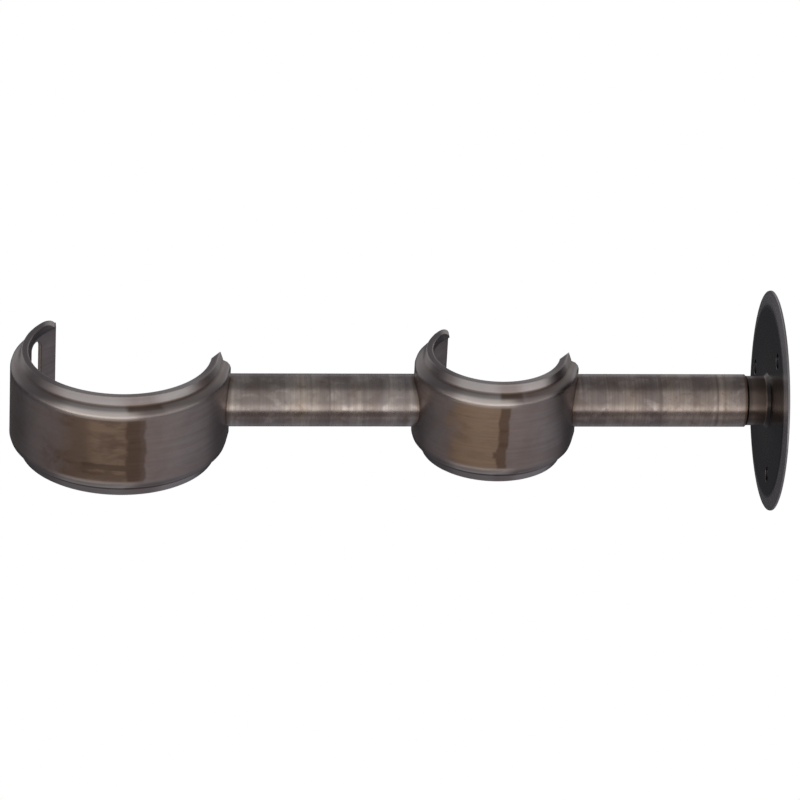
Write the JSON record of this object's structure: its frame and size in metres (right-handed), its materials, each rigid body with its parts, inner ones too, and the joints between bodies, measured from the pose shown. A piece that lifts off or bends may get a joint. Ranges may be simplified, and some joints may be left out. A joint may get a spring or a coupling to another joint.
{
  "type": "curtain rod bracket",
  "caption": "Wall bracket for a pair of curtain rods: a round rose, turned arms in line and open pressed cups that carry the rods.",
  "frame": {"origin": "centre of the rose's wall face, on the arms' axis", "axes": "wall plane is XZ at Y = 0, the bracket reaches out along -Y, the rods lie along X and the cups open towards +Z"},
  "size_m": [0.0616, 0.2124, 0.0616],
  "materials": {
    "antique_bronze": "antiqued grey-brown bronze patina, satin lacquer over turning marks",
    "dark_bronze": "near-black bronze patina, satin",
    "screw_steel": "plain zinc-plated steel"
  },
  "bodies": {
    "root": {"wall_rose": "dark_bronze", "fixing_screw": "screw_steel", "back_arm": "antique_bronze", "small_cup": "antique_bronze", "front_arm": "antique_bronze", "large_cup": "antique_bronze"}
  },
  "joints": []
}
